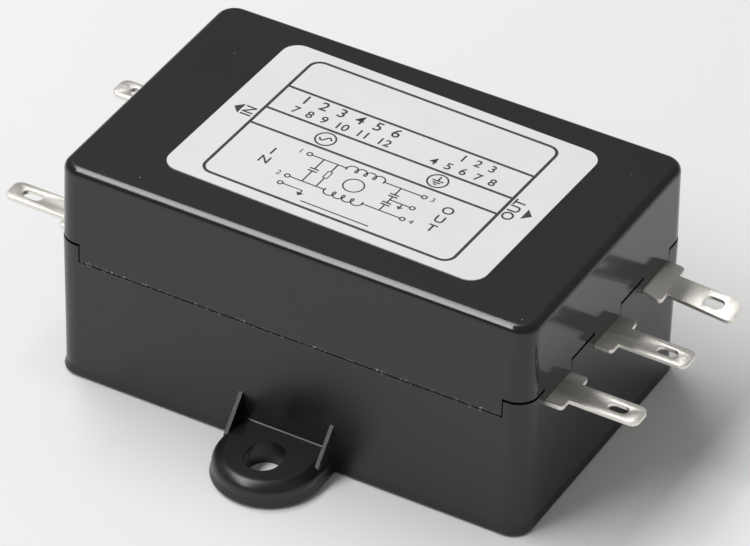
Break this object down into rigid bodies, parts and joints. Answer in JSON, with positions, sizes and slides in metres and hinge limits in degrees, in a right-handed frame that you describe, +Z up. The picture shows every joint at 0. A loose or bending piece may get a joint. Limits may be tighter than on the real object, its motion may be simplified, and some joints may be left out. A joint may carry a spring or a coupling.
{
  "type": "mains interference filter",
  "caption": "Closed two-shell mains interference filter with flat solder tabs at both ends and two slotted screw ears.",
  "frame": {"origin": "centre of the flat underside, midway between the tips of the tabs and the ends of the ears", "axes": "+X towards the end with three tabs, along the case; +Z up through the lid"},
  "size_m": [0.0706, 0.051, 0.0253],
  "materials": {
    "case_plastic": "fine sparked grain with a slight sheen, dusty",
    "label_film": "printed sticker",
    "tinned_brass": "tinned sheet metal, satin",
    "rivet_brass": "turned",
    "board": "phenolic paper board",
    "copper": "copper foil",
    "solder": "solder",
    "core_coat": "coated ferrite",
    "magnet_wire": "enamelled copper wire",
    "pale_plastic": "moulded",
    "yellow_plastic": "moulded box",
    "blue_epoxy": "dipped epoxy",
    "lead_wire": "tinned copper wire",
    "resistor_coat": "lacquered"
  },
  "bodies": {
    "root": {"base_case": "case_plastic", "lid": "case_plastic", "label": "label_film", "load_tab_live": "tinned_brass", "load_tab_earth": "tinned_brass", "load_tab_neutral": "tinned_brass", "line_tab_live": "tinned_brass", "line_tab_neutral": "tinned_brass", "tab_rivets": "rivet_brass", "circuit_board": "board", "copper_tracks": "copper", "solder_joints": "solder", "choke_core": "core_coat", "winding_live": "magnet_wire", "winding_neutral": "magnet_wire", "choke_mount": "pale_plastic", "x_capacitor": "yellow_plastic", "x_capacitor_leads": "lead_wire", "y_capacitor_live": "blue_epoxy", "y_capacitor_neutral": "blue_epoxy", "y_leads_live": "lead_wire", "y_leads_neutral": "lead_wire", "bleed_resistor": "resistor_coat", "resistor_leads": "lead_wire"}
  },
  "joints": []
}
